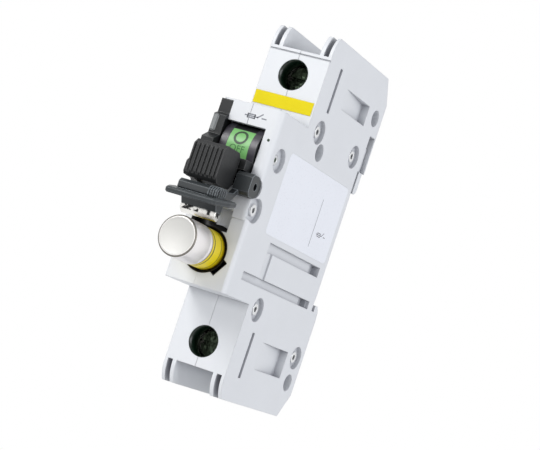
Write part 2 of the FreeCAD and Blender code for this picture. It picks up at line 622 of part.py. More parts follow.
def cover_plate():
    """The finger plate: narrower at its front edge, with round corners, and a little tilted."""
    x1 = PLATE_FRONT_HALF_X
    taper_y = PLATE_REAR_Y - PLATE_TAPER
    outline = [vec(-HALF, PLATE_REAR_Y, 0), vec(-HALF, taper_y, 0), vec(-x1, PLATE_FRONT_Y, 0),
               vec(x1, PLATE_FRONT_Y, 0), vec(HALF, taper_y, 0), vec(HALF, PLATE_REAR_Y, 0)]
    face = Part.Face(Part.makePolygon(outline + outline[:1]))
    plate = face.extrude(vec(0, 0, PLATE_THICK))
    ahead = PLATE_REAR_Y - PLATE_TAPER / 2
    plate = round_edges(plate, PLATE_CORNER_R, lambda c, e: near(c.z, PLATE_THICK / 2) and c.y < ahead)
    plate = plate.makeChamfer(PLATE_EDGE, [e for e in plate.Edges if e.BoundBox.ZLength < 0.01])
    plate.rotate(vec(0, PLATE_REAR_Y, 0), vec(1, 0, 0), PLATE_TILT)
    plate.translate(vec(0, 0, PLATE_LOW_Z))
    return plate


# Fuse

def fuse():
    rear = FUSE_FRONT_Y + FUSE_LENGTH
    at = (0, FUSE_Z)
    front_cap = rod("y", FUSE_R, FUSE_FRONT_Y, FUSE_FRONT_Y + FUSE_CAP_LENGTH, at)
    front_cap = bevel_edges(front_cap, FUSE_CAP_BEVEL, lambda c: near(c.y, FUSE_FRONT_Y))
    front_cap = front_cap.cut(rod("y", FUSE_TUBE_R, FUSE_FRONT_Y + FUSE_CAP_WALL, rear, at))
    rear_cap = rod("y", FUSE_R, rear - FUSE_CAP_LENGTH, rear, at)
    rear_cap = rear_cap.cut(rod("y", FUSE_TUBE_R, FUSE_FRONT_Y, rear - FUSE_CAP_WALL, at))
    rear_cap = rear_cap.fuse(rod("y", NIPPLE_R, rear, rear + NIPPLE_LENGTH, at))
    keep("fuse_front_cap", front_cap)
    keep("fuse_rear_cap", rear_cap)
    keep("fuse_tube", rod("y", FUSE_TUBE_R, FUSE_FRONT_Y + FUSE_CAP_WALL, rear - FUSE_CAP_WALL, at))
    sleeve_y = (FUSE_FRONT_Y + FUSE_CAP_LENGTH + CLEAR, rear - FUSE_CAP_LENGTH - CLEAR)
    sleeve = rod("y", FUSE_TUBE_R + SLEEVE_THICK, sleeve_y[0], sleeve_y[1], at)
    keep("fuse_label", sleeve.cut(rod("y", FUSE_TUBE_R, sleeve_y[0], sleeve_y[1], at)))


# Rail clip and springs

def coil_spring(radius, wire, height, turns):
    """A coil of square wire, of the given half width, along Z from the origin's level."""
    steps = turns * COIL_SIDES
    path = []
    for i in range(steps + 1):
        turn = 2 * math.pi * i / COIL_SIDES
        path.append(vec(radius * math.cos(turn), radius * math.sin(turn), height * i / steps))
    corners = [vec(radius + dx * wire, 0, dz * wire) for dx, dz in ((-1, -1), (1, -1), (1, 1), (-1, 1))]
    section = Part.makePolygon(corners + corners[:1])
    return Part.makePolygon(path).makePipeShell([section], True, False, 1)


def toggle_spring():
    room = SPRING_BOX_X[1] - SPRING_BOX_X[0] - 2 * TOGGLE_WIRE_R - 2 * CLEAR
    coil = coil_spring(TOGGLE_COIL_R, TOGGLE_WIRE_R, room, TOGGLE_COIL_TURNS)
    coil.rotate(vec(0, 0, 0), vec(0, 1, 0), 90)
    coil.translate(vec(SPRING_BOX_X[0] + TOGGLE_WIRE_R + CLEAR, DRUM_Y, DRUM_Z))
    keep("toggle_spring", coil)


def rail_clip():
    y1 = CLIP_Y[1]
    slide = block((-CLIP_HALF_X, CLIP_HALF_X), CLIP_Y, (CLIP_FACE_Z, CLIP_TOP_Z))
    tip = [(y1, CLIP_TIP_Z + CLIP_BEVEL), (y1 - CLIP_BEVEL, CLIP_TIP_Z), (CLIP_LIP_Y, CLIP_TIP_Z)]
    foot_x = (-CLIP_FOOT_HALF_X, CLIP_FOOT_HALF_X)
    foot = side_prism([(y1, CLIP_FACE_Z)] + tip + [(CLIP_LIP_Y, CLIP_FACE_Z)], foot_x)
    keep("rail_clip", slide.fuse(foot))
    height = SPRING_TOP_Z - CLIP_TOP_Z - 2 * SPRING_WIRE_R
    coil = coil_spring(SPRING_COIL_R, SPRING_WIRE_R, height, SPRING_TURNS)
    coil.translate(vec(0, sum(CLIP_Y) / 2, CLIP_TOP_Z + SPRING_WIRE_R))
    keep("rail_clip_spring", coil)


# Small pieces on the housing

def rivets():
    """Tubes across both shells that stand up in the recesses of the right side."""
    solids = []
    top = HALF - RIVET_RECESS_DEPTH + RIVET_HEAD_THICK
    for place in RIVET_PLACES:
        tube = rod("x", RIVET_R, RIVET_END_GAP - HALF, top, place)
        solids.append(tube.cut(rod("x", RIVET_HOLE_R, -HALF, HALF, place)))
    keep("shell_rivets", Part.makeCompound(solids))


def labels():
    keep("front_label", block(FRONT_LABEL_X, (TERMINAL_Y - LABEL_THICK, TERMINAL_Y), FRONT_LABEL_Z))
    keep("side_label", rounded_plate(LABEL_Y, LABEL_Z, (HALF - LABEL_THICK, HALF), LABEL_CORNER_R))
    keep("indicator_lens", side_prism(lens_points(), (-HALF, LENS_RIGHT_X)))


def main():
    terminal(1, "upper")
    terminal(-1, "lower")
    contact_bars()
    toggle()
    mechanism()
    fuse_cover()
    fuse()
    rail_clip()
    toggle_spring()
    rivets()
    labels()
    body = housing().cut(PARTS["side_label"])
    reach = (-REACH, REACH)
    keep("right_shell", body.common(block((0, REACH), reach, reach)))
    keep("left_shell", body.common(block((-REACH, 0), reach, reach)))
    os.makedirs("parts", exist_ok=True)
    for name, shape in sorted(PARTS.items()):
        print(name, len(shape.Solids), shape.isValid(), round(shape.Volume, 1))
        shape.exportStep("parts/" + name + ".step")


main()
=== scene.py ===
import json
import math

import bmesh
import bpy
from mathutils import Matrix, Vector


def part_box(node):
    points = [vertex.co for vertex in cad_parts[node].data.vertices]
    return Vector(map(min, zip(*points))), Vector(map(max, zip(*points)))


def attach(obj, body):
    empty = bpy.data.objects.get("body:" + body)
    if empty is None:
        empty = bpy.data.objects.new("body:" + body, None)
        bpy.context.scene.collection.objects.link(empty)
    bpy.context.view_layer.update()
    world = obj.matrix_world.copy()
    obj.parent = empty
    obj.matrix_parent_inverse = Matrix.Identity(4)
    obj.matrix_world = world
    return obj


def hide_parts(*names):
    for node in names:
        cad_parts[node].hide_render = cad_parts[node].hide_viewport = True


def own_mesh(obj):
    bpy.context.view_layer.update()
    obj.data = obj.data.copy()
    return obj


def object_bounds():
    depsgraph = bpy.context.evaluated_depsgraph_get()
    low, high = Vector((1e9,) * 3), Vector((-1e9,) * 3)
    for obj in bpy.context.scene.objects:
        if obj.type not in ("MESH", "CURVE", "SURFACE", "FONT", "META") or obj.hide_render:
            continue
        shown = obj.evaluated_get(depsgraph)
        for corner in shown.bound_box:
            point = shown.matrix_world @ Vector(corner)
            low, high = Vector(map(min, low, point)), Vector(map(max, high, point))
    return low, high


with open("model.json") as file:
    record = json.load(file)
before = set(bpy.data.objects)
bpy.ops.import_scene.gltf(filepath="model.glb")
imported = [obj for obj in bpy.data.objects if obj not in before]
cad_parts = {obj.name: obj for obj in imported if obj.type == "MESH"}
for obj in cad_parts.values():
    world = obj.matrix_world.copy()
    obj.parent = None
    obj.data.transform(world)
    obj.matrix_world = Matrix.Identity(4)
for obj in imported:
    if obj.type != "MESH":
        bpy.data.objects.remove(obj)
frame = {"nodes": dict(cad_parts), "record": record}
CAD_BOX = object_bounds()

# Sizes and places are in metres, in the frame of the CAD, apart from the lens and sensor in millimetres

# Camera, fitted to the corners of the housing in the photograph
CAMERA_PLACE = (0.20642, -0.45667, -0.04165)
CAMERA_RIGHT = (0.86741, 0.38370, 0.31682)
CAMERA_DOWN = (0.25298, 0.20822, -0.94480)
CAMERA_AHEAD = (-0.42849, 0.89968, 0.08354)
CAMERA_LENS = 124.02
SENSOR_WIDTH = 36.0
NEAR_CLIP = 0.01

# Lamps, each with its name, place, size, power and colour, and the point that they aim at
LAMPS = (
    ("key_lamp", (-0.35, -0.75, 0.45), 0.45, 3.9, (1.0, 1.0, 1.0)),
    ("low_lamp", (0.05, -0.75, -0.13), 0.4, 0.85, (1.0, 0.99, 0.95)),
    ("fill_lamp", (0.75, -0.15, 0.15), 0.5, 2.0, (0.95, 0.96, 1.0)),
)
LAMP_AIM = (0.0, -0.03, 0.0)

# Room and floor
WHITE = (1.0, 1.0, 1.0, 1.0)
ROOM_COLOUR = (0.93, 0.95, 1.0, 1.0)
ROOM_STRENGTH = 0.55
FLOOR_COLOUR = (0.82, 0.82, 0.82, 1.0)
FLOOR_ROUGHNESS = 0.9
FLOOR_HALF = 1.5
FLOOR_DROP = 0.11

# Shading that every finish shares
NOISE_DETAIL = 3.0
NOISE_ROUGHNESS = 0.55
MIDDLE_RANGE = (0.3, 0.7)
GLOSS_SPREAD = 0.12
# Painted shade in crevices: its reach, range and samples
CREVICE_REACH = 0.0028
CREVICE_RANGE = (0.30, 0.92)
CREVICE_SAMPLES = 6
# Range of the painted edge highlights, then bevel samples without and with them
EDGE_RANGE = (0.80, 0.985)
EDGE_SAMPLES = 4
EDGE_HIGHLIGHT_SAMPLES = 8

# Sockets of a colour mix node
MIX_FACTOR, MIX_FROM, MIX_TO, MIX_RESULT = 0, 6, 7, 2

# Steps round a turned piece
TURN_STEPS = 72
CAP_STEPS = 96
SMALL_TURN_STEPS = 48
DOT_STEPS = 24

# Front cap of the fuse: the steps of its dish are pairs of distance in from the edge and depth
CAP_RIM = 0.0005
CAP_RIM_PARTS = 6
CAP_DISH_DEPTH = 0.00016
CAP_DISH_STEPS = ((0.0011, 0.00013), (0.0009, 0.00005), (0.0007, 0.0))
CAP_FACE_DEPTH = 0.0002
CAP_CRIMP_PLACE = 0.0014
CAP_CRIMP_HALF = 0.0004
CAP_CRIMP_DEPTH = 0.00014
CAP_EDGE = 0.00008
CAP_WALL = 0.00019
# Arc round the rim covered by the painted rim shade, in degrees
CAP_RIM_SHADE_DEGREES = range(10, 74, 7)

# Printed lines; a sleeve line has its start and its width along the fuse
INK_LIFT = 0.000012
SLEEVE_LINES = ((0.0008, 0.0004), (0.0047, 0.0002))
SYMBOL_WIDTH = 0.0058
SYMBOL_PLACE = (-0.0012, 0.0202)
SYMBOL_LINE = 0.00032
LABEL_SYMBOL_WIDTH = 0.00609
LABEL_SYMBOL_PLACE = (-0.0133, 0.0007)
LABEL_LINE = 0.000184
LABEL_MARGIN = 0.0011
LABEL_SPLIT = 0.675
LABEL_SPLIT_GAPS = (0.0012, 0.0050)

# Dark linings of painted shade in the access holes and the fuse's mouth
LINER_GAP = 0.00004
LINER_WALL = 0.00012
LINER_DEPTH = 0.0095
ACCESS_DEPTH = 0.0092
ACCESS_RADIUS = 0.0041
BORE_RADIUS = 0.00545
MOUTH_RADIUS = 0.0059
MOUTH_FRONT = -0.0538
MOUTH_FLOOR = -0.0533
POCKET_X = (-0.0063, 0.0041)
POCKET_Z = (-0.0090, -0.0032)
POCKET_BACK = -0.0503
POCKET_INSET = 0.0002
POCKET_BAND_RADIUS = 0.0069
POCKET_BAND_DEGREES = range(57, 100, 6)
POCKET_BAND_END_X = -0.0012
NOTCH_X = (0.0053, 0.0068)
NOTCH_HALF = 0.0023
NOTCH_TURN = math.radians(34.0)
NOTCH_BACK = -0.0506

# Front of the housing: MID_STEP is how far its middle stands out from its ends
MID_STEP = 0.0156
SEAM_HALF = 0.00004
SEAM_SINK = (0.00003, 0.00012)
LOWER_SEAM_Z = ((-0.0420, -0.0397), (-0.0313, -0.0234))
MID_SEAM_Z = (0.0195, 0.0214)
# Place and size of the painted shade for the small hole right of the drum
CHEEK_DOT = (0.0070, 0.0155)
CHEEK_DOT_RADIUS = 0.00035

# Grey strip on the dark block at the left of the drum: painted shade, the tone of a pale face in shadow
STRIP_SETBACK = 0.0025
STRIP_HALF_DEPTH = 0.0004
STRIP_DROP = (0.0088, 0.0044)
STRIP_MARGIN = 0.0001
STRIP_SHARE = 0.48
STRIP_BEVEL = 0.0003
STRIP_BEVEL_PARTS = 3

# Block of the fuse cover, and the grip ribs round its front right corner
BLOCK_Y = (-0.0676, -0.0640)
BLOCK_Z = (-0.0034, -0.0004)
BLOCK_SIDE_X = 0.0055
BLOCK_BEVEL = 0.0008
RIB_COUNT = 4
RIB_RISE = 0.0002
RIB_WIDTH = 0.00032
RIB_START_X = 0.0029
RIB_PITCH_X = 0.00065
SIDE_RIB_WIDTH = 0.00048
SIDE_RIB_START_Y = -0.0668
SIDE_RIB_PITCH_Y = 0.0010

# Lip of the puller clip: pairs of distance behind its front and drop below its edge
LIP_INSET = 0.00004
LIP_SIDE_INSET = 0.0001
LIP_TOP = 0.0003
LIP_DROPS = ((0.0, 0.0001), (0.0005, 0.0005), (0.0010, 0.0008), (0.0016, 0.00095), (0.0021, 0.0009))
LIP_REAR_DROP = 0.0006

# Coil behind the rail clip
COIL_TURNS = 6
COIL_STEPS = 16
WIRE_SIDES = 8
WIRE_RADIUS = 0.00026

# Switch drum with its polished bands, lightened as painted sheen, and the marks on its green flag
DRUM_AXIS = Vector((0.0, -0.0482, 0.0120))
DRUM_RADIUS = 0.0069
FLAG_LIFT = 0.00004
DRUM_BAND_X = (0.00315, 0.00505)
DRUM_BAND_REACH = 0.0068
DRUM_BAND_LIFT = 0.00003
DRUM_BAND_PARTS = 24
RING_RADIUS = 0.0016
RING_WIDTH = 0.0006
RING_ALONG = 0.0024
LETTER_HEIGHT = 0.0017
LETTER_SHARE = 0.7
LETTER_PARTS = 4
LETTERS_ALONG = -0.0014

# Flared end of the toggle's pin
PIN_HOLE_SHARE = 0.45
PIN_RISE = 0.00018
PIN_RIM_SHARE = 0.6
PIN_LIP_SHARE = 0.5
PIN_SINK = 0.0001
PIN_OUTER_BEVEL = 0.00015
PIN_INNER_BEVEL = 0.0002
PIN_SHADE_LIFT = 0.00002


# Materials

def new_material(name):
    material = bpy.data.materials.new(name)
    material.use_nodes = True
    nodes = material.node_tree.nodes
    links = material.node_tree.links
    return material, nodes, links, nodes["Principled BSDF"]


def add_noise(nodes, links, scale):
    """A noise texture on object coordinates."""
    coords = nodes.new("ShaderNodeTexCoord")
    noise = nodes.new("ShaderNodeTexNoise")
    noise.inputs["Scale"].default_value = scale
    noise.inputs["Detail"].default_value = NOISE_DETAIL
    noise.inputs["Roughness"].default_value = NOISE_ROUGHNESS
    links.new(coords.outputs["Object"], noise.inputs["Vector"])
    return noise


def add_ramp(nodes, links, source, stops):
    """A colour ramp fed by source, with two (place, colour) stops."""
    ramp = nodes.new("ShaderNodeValToRGB")
    for element, (place, colour) in zip(ramp.color_ramp.elements, stops):
        element.position = place
        element.color = (*colour, 1.0)
    links.new(source, ramp.inputs["Fac"])
    return ramp.outputs["Color"]


def add_range(nodes, links, source, start, end, low, high):
    """Turns values of source from start to end into values from low to high."""
    remap = nodes.new("ShaderNodeMapRange")
    remap.inputs["From Min"].default_value = start
    remap.inputs["From Max"].default_value = end
    remap.inputs["To Min"].default_value = low
    remap.inputs["To Max"].default_value = high
    links.new(source, remap.inputs["Value"])
    return remap.outputs["Result"]


def add_shade(nodes, links, source, factor, shade):
    """Mixes a colour into source, as far as factor says."""
    mix = nodes.new("ShaderNodeMix")
    mix.data_type = "RGBA"
    links.new(factor, mix.inputs[MIX_FACTOR])
    links.new(source, mix.inputs[MIX_FROM])
    mix.inputs[MIX_TO].default_value = (*shade, 1.0)
    return mix.outputs[MIX_RESULT]


def add_painted_crevice_shade(nodes, links, source, shade):
    """Painted shade: darkens the colour where other surfaces are close, as shadow does in a corner."""
    near = nodes.new("ShaderNodeAmbientOcclusion")
    near.samples = CREVICE_SAMPLES
    near.inputs["Distance"].default_value = CREVICE_REACH
    fade = add_range(nodes, links, near.outputs["AO"], *CREVICE_RANGE, 1.0, 0.0)
    return add_shade(nodes, links, source, fade, shade)


def add_painted_edge_highlights(nodes, links, source, soft, shade):
    """Painted highlight: lightens the colour along edges, as light catching them would."""
    shape = nodes.new("ShaderNodeNewGeometry")
    likeness = nodes.new("ShaderNodeVectorMath")
    likeness.operation = "DOT_PRODUCT"
    links.new(soft.outputs["Normal"], likeness.inputs[0])
    links.new(shape.outputs["Normal"], likeness.inputs[1])
    fade = add_range(nodes, links, likeness.outputs["Value"], *EDGE_RANGE, 1.0, 0.0)
    return add_shade(nodes, links, source, fade, shade)


def tint(colour, factor):
    return tuple(min(1.0, part * factor) for part in colour)


def surface(name, colour, rough, metal=0.0, specular=0.5, mottle=0.03, cloud_scale=90.0, stops=None,
            grain=2600.0, bump=0.05, depth=0.00004, edge=0.00018, painted_crevice_shade=None, painted_edge_highlight=None):
    """A finish with soft edges, fine grain and a slight change of colour and gloss over it; where asked, it
    also paints shade into crevices and highlights along edges.
    """
    material, nodes, links, shader = new_material(name)
    shader.inputs["Metallic"].default_value = metal
    shader.inputs["Specular IOR Level"].default_value = specular
    if stops is None:
        stops = tuple(zip(MIDDLE_RANGE, (tint(colour, 1 - mottle), tint(colour, 1 + mottle))))
    cloud = add_noise(nodes, links, cloud_scale)
    shown = add_ramp(nodes, links, cloud.outputs["Fac"], stops)
    # Painted shade where other surfaces are close
    if painted_crevice_shade:
        shown = add_painted_crevice_shade(nodes, links, shown, painted_crevice_shade)
    soft = nodes.new("ShaderNodeBevel")
    soft.samples = EDGE_HIGHLIGHT_SAMPLES if painted_edge_highlight else EDGE_SAMPLES
    soft.inputs["Radius"].default_value = edge
    # Painted highlights along the edges
    if painted_edge_highlight:
        shown = add_painted_edge_highlights(nodes, links, shown, soft, painted_edge_highlight)
    links.new(shown, shader.inputs["Base Color"])
    fine = add_noise(nodes, links, grain)
    low, high = rough * (1 - GLOSS_SPREAD), rough * (1 + GLOSS_SPREAD)
    gloss = add_range(nodes, links, fine.outputs["Fac"], *MIDDLE_RANGE, low, high)
    links.new(gloss, shader.inputs["Roughness"])
    relief = nodes.new("ShaderNodeBump")
    relief.inputs["Strength"].default_value = bump
    relief.inputs["Distance"].default_value = depth
    links.new(fine.outputs["Fac"], relief.inputs["Height"])
    links.new(soft.outputs["Normal"], relief.inputs["Normal"])
    links.new(relief.outputs["Normal"], shader.inputs["Normal"])
    return material


def make_plastics():
    """The pale housing, the black moving parts and the flags."""
    return {
        # Each crevice colour below is painted shade in corners, and each edge colour a painted highlight
        "housing": surface(
            "housing_plastic", (0.735, 0.75, 0.77), 0.42, mottle=0.012, edge=0.0003,
            painted_crevice_shade=(0.40, 0.41, 0.44)),
        "black_plastic": surface(
            "black_plastic", (0.018, 0.019, 0.020), 0.46, specular=0.30, mottle=0.15, bump=0.10,
            edge=0.0003, painted_crevice_shade=(0.005, 0.006, 0.006), painted_edge_highlight=(0.11, 0.11, 0.11)),
        "cover_plastic": surface(
            "cover_plastic", (0.026, 0.031, 0.034), 0.40, specular=0.45, mottle=0.15, bump=0.10,
            edge=0.00035, painted_crevice_shade=(0.006, 0.008, 0.010), painted_edge_highlight=(0.25, 0.28, 0.30)),
        # Painted sheen: lighter and more violet than the black plastic, for the drum's bands
        "drum_gloss_and_sheen": surface(
            "drum_gloss_and_sheen", (0.045, 0.041, 0.052), 0.32, mottle=0.10, bump=0.04),
        "lens": surface(
            "smoked_lens", (0.010, 0.011, 0.012), 0.34, specular=0.35, mottle=0.10, bump=0.04,
            edge=0.0003, painted_crevice_shade=(0.003, 0.003, 0.003), painted_edge_highlight=(0.06, 0.065, 0.065)),
        # Painted shade: the grey of a pale face in shadow
        "shade_grey_strip": surface(
            "shade_grey_strip", (0.22, 0.23, 0.23), 0.40, mottle=0.08, edge=0.0002),
        "green_flag": surface(
            "green_flag", (0.19, 0.49, 0.15), 0.34, mottle=0.05, bump=0.03, edge=0.00005),
        "red_flag": surface(
            "red_flag", (0.62, 0.03, 0.02), 0.34, mottle=0.05, bump=0.03, edge=0.00005),
    }


def make_metals():
    """Steel, copper and the nickel of the fuse's caps and the puller clip."""
    return {
        "steel": surface(
            "plated_steel", (0.50, 0.51, 0.46), 0.28, metal=1.0, mottle=0.12, grain=900.0, bump=0.10),
        "black_steel": surface(
            "black_steel", (0.020, 0.021, 0.021), 0.40, metal=0.6, mottle=0.15, bump=0.10),
        # Greenish plated steel, darkened as painted shade for screws deep in their holes
        "shaded_screw_steel": surface(
            "shaded_screw_steel", (0.034, 0.046, 0.031), 0.14, metal=1.0, mottle=0.35, grain=650.0,
            bump=0.70, depth=0.0004),
        "rivet_steel": surface(
            "rivet_steel", (0.74, 0.75, 0.76), 0.30, metal=0.85, mottle=0.10, grain=900.0, bump=0.10),
        "copper": surface(
            "tinned_copper", (0.72, 0.55, 0.40), 0.32, metal=1.0, mottle=0.08, grain=900.0, bump=0.10),
        "nickel": surface(
            "satin_nickel", (0.88, 0.855, 0.85), 0.38, metal=0.70, mottle=0.04, grain=3500.0,
            bump=0.015, edge=0.0002),
        # Cap face: rougher than the nickel, and darker as painted shade
        "shaded_cap_face": surface(
            "shaded_cap_face", (0.58, 0.575, 0.555), 0.58, metal=0.65, grain=3500.0, bump=0.02, edge=0.0002),
        "bright_nickel": surface(
            "bright_nickel", (0.84, 0.83, 0.80), 0.20, metal=1.0, mottle=0.15, grain=900.0, bump=0.50,
            edge=0.0003),
        # Painted glints: dark and bright patches stand in for reflections on the puller clip
        "glint_painted_nickel": surface(
            "glint_painted_nickel", (0.78, 0.77, 0.74), 0.20, metal=1.0, cloud_scale=620.0, grain=900.0,
            bump=0.60, edge=0.0003, stops=((0.45, (0.03, 0.03, 0.03)), (0.53, (0.86, 0.85, 0.82)))),
        # Painted shade along the outside of the cap's rim
        "rim_shade_nickel": surface(
            "rim_shade_nickel", (0.20, 0.19, 0.17), 0.35, metal=0.9, mottle=0.10, bump=0.02, edge=0.00005),
    }


def make_labels():
    """The fuse's body and sleeve, the labels and the inks on them."""
    return {
        "fuse_body": surface(
            "fuse_ceramic", (0.80, 0.76, 0.66), 0.50, bump=0.06),
        # Its crevice colour is painted shade where the sleeve sits close to other parts
        "sleeve_yellow": surface(
            "sleeve_yellow", (0.84, 0.66, 0.004), 0.34, mottle=0.08, edge=0.00003,
            painted_crevice_shade=(0.16, 0.09, 0.002)),
        "yellow_label": surface(
            "yellow_label", (0.78, 0.64, 0.002), 0.40, specular=0.15, mottle=0.05, bump=0.03,
            edge=0.00003),
        "white_label": surface(
            "white_label", (0.84, 0.86, 0.91), 0.30, mottle=0.01, bump=0.03, edge=0.00003),
        # Dark ink for print, also painted shade in small holes
        "ink_and_hole_shade": surface(
            "dark_ink_and_hole_shade", (0.02, 0.05, 0.02), 0.45, mottle=0.1, bump=0.02, edge=0.00002),
        "pale_ink": surface(
            "pale_ink", (0.04, 0.17, 0.035), 0.45, mottle=0.1, bump=0.02, edge=0.00002),
        "label_ink": surface(
            "label_ink", (0.07, 0.07, 0.09), 0.45, mottle=0.05, bump=0.02, edge=0.00002),
        "grey_line": surface(
            "grey_line", (0.20, 0.21, 0.24), 0.45, mottle=0.05, bump=0.02, edge=0.00002),
    }


def make_linings():
    """Painted shade for the insides of the fuse's mouth and of the screw holes."""
    return {
        # Painted shade in the fuse's mouth, the pocket above it and the notch below it
        "mouth_shade_liner": surface(
            "mouth_shade_liner", (0.010, 0.009, 0.008), 0.50, mottle=0.20, bump=0.08, edge=0.0001),
        # Painted shade deep in the screw access holes
        "hole_shade_liner": surface(
            "hole_shade_liner", (0.005, 0.014, 0.008), 0.22, mottle=0.20, bump=0.08, edge=0.0001),
    }


# Nodes whose finish differs from that of their slot in the record
OWN_FINISH = {
    "fuse_cover": "cover_plastic",
    "cover_pin": "black_steel",
    "fuse_label": "sleeve_yellow",
    # The puller clip takes the nickel with painted glints
    "fuse_puller_clip": "glint_painted_nickel",
    # The terminal screws take the steel darkened as painted shade
    "upper_terminal_screw": "shaded_screw_steel",
    "lower_terminal_screw": "shaded_screw_steel",
    "shell_rivets": "rivet_steel",
}


def dress_nodes(materials):
    """Gives every CAD node its own finish, or else the one of its slot."""
    slots = {entry["node"]: entry["material_slot"] for entry in frame["record"]["subparts"]}
    for name, node in frame["nodes"].items():
        node.data.materials.clear()
        node.data.materials.append(materials[OWN_FINISH.get(name, slots[name])])


# Mesh helpers

def add_piece(name, mesh_maker, material, body):
    """A new object from bmesh code, riding on a body."""
    mesh = bpy.data.meshes.new(name)
    work = bmesh.new()
    mesh_maker(work)
    bmesh.ops.recalc_face_normals(work, faces=work.faces)
    work.to_mesh(mesh)
    work.free()
    piece = bpy.data.objects.new(name, mesh)
    bpy.context.scene.collection.objects.link(piece)
    mesh.materials.append(material)
    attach(piece, body)
    return piece


def middle_of(low, high):
    return (low + high) / 2


def smooth_all(work):
    for face in work.faces:
        face.smooth = True


def join_rows(work, near, far, closed=True):
    """Faces between two rows of equal length; a closed row ends where it starts."""
    count = len(near)
    for i in range(count if closed else count - 1):
        j = (i + 1) % count
        work.faces.new((near[i], near[j], far[j], far[i]))


def turn_profile(work, profile, centre, steps=TURN_STEPS):
    """Turns (radius, y) points about an axis along Y; a radius of zero closes the end."""
    turns = [2 * math.pi * i / steps for i in range(steps)]
    rings = []
    for radius, y in profile:
        if radius == 0.0:
            rings.append([work.verts.new((centre.x, y, centre.z))])
            continue
        points = [(centre.x + radius * math.cos(t), y, centre.z + radius * math.sin(t)) for t in turns]
        rings.append([work.verts.new(point) for point in points])
    for near, far in zip(rings, rings[1:]):
        if len(near) == len(far):
            join_rows(work, near, far)
            continue
        for i in range(steps):
            j = (i + 1) % steps
            if len(near) == 1:
                work.faces.new((near[0], far[j], far[i]))
            else:
                work.faces.new((near[i], near[j], far[0]))
    smooth_all(work)


def add_sheet(work, low, high):
    """A thin box between two corners."""
    cube = bmesh.ops.create_cube(work, size=1.0)
    for vert in cube["verts"]:
        vert.co = [low[i] if vert.co[i] < 0 else high[i] for i in range(3)]


def add_prism(work, outline, left, right):
    """A solid with an outline of (y, z) points, from left to right."""
    near = [work.verts.new((left, y, z)) for y, z in outline]
    far = [work.verts.new((right, y, z)) for y, z in outline]
    work.faces.new(near)
    work.faces.new(far[::-1])
    join_rows(work, near, far)


# Fuse

def cap_profile(radius, front, rear):
    """Half the section of the cap: the dish, the rolled rim, the crimp and the open end."""
    profile = [(0.0, front + CAP_DISH_DEPTH)]
    profile += [(radius - inset, front + depth) for inset, depth in CAP_DISH_STEPS]
    for i in range(CAP_RIM_PARTS + 1):
        turn = math.pi / 2 * i / CAP_RIM_PARTS
        across = radius - CAP_RIM + CAP_RIM * math.sin(turn)
        profile.append((across, front + CAP_RIM - CAP_RIM * math.cos(turn)))
    crimp = rear - CAP_CRIMP_PLACE
    profile += [(radius, crimp - CAP_CRIMP_HALF), (radius - CAP_CRIMP_DEPTH, crimp),
                (radius, crimp + CAP_CRIMP_HALF)]
    profile += [(radius, rear - CAP_EDGE), (radius - CAP_EDGE, rear), (radius - CAP_WALL, rear)]
    return profile + [(radius - CAP_WALL, front + CAP_RIM), (0.0, front + CAP_RIM)]


def front_cap(materials):
    """The drawn metal cap of the fuse: a slightly dished face, a rolled rim and a crimp near its end."""
    low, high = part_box("fuse_front_cap")
    centre = middle_of(low, high)
    radius = (high.x - low.x) / 2
    profile = cap_profile(radius, low.y, high.y)
    piece = add_piece("front_cap", lambda work: turn_profile(work, profile, centre, CAP_STEPS),
                      materials["nickel"], "fuse")
    # The flat front face takes the darker copy, which is painted shade
    piece.data.materials.append(materials["shaded_cap_face"])
    for face in piece.data.polygons:
        out = math.hypot(face.center.x - centre.x, face.center.z - centre.z)
        if face.center.y < low.y + CAP_FACE_DEPTH and out < radius - CAP_RIM:
            face.material_index = 1
    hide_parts("fuse_front_cap")


def cap_rim_shade(materials):
    """Painted shade: a dark band along the outside of the cap's rolled rim."""
    low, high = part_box("fuse_front_cap")
    inner = (high.x - low.x) / 2 - CAP_RIM
    reach = CAP_RIM + INK_LIFT
    profile = []
    for degrees in CAP_RIM_SHADE_DEGREES:
        turn = math.radians(degrees)
        profile.append((inner + reach * math.sin(turn), low.y + CAP_RIM - reach * math.cos(turn)))
    add_piece("cap_rim_shade", lambda work: turn_profile(work, profile, middle_of(low, high), CAP_STEPS),
              materials["rim_shade_nickel"], "fuse")


def sleeve_lines(materials):
    """Two plain dark lines round the yellow sleeve of the fuse."""
    low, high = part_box("fuse_label")
    radius = (high.x - low.x) / 2
    inner, outer = radius - INK_LIFT, radius + INK_LIFT
    for i, (start, width) in enumerate(SLEEVE_LINES):
        near, far = low.y + start, low.y + start + width
        profile = [(inner, near), (outer, near), (outer, far), (inner, far)]
        add_piece(f"sleeve_line_{i}", lambda work: turn_profile(work, profile, middle_of(low, high)),
                  materials["ink_and_hole_shade"], "fuse")


# Linings of painted shade

def end_front():
    """Where the front of the housing's two ends lies, which is the back of the plate on it."""
    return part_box("front_label")[1].y


def mid_front():
    """Where the front of the housing's middle lies, above the step at the cover's hinge."""
    return end_front() - MID_STEP


def access_hole_shades(materials):
    """Painted shade: a dark sleeve inside each screw access hole, for the dark depth of the hole."""
    outer = ACCESS_RADIUS - LINER_GAP
    inner = outer - LINER_WALL
    front = end_front() + LINER_GAP
    rear = front + ACCESS_DEPTH
    profile = [(outer, front), (inner, front), (inner, rear), (outer, rear), (outer, front)]
    for side in ("upper", "lower"):
        centre = middle_of(*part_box(side + "_terminal_screw"))
        add_piece(side + "_access_shade", lambda work: turn_profile(work, profile, centre),
                  materials["hole_shade_liner"], "housing")


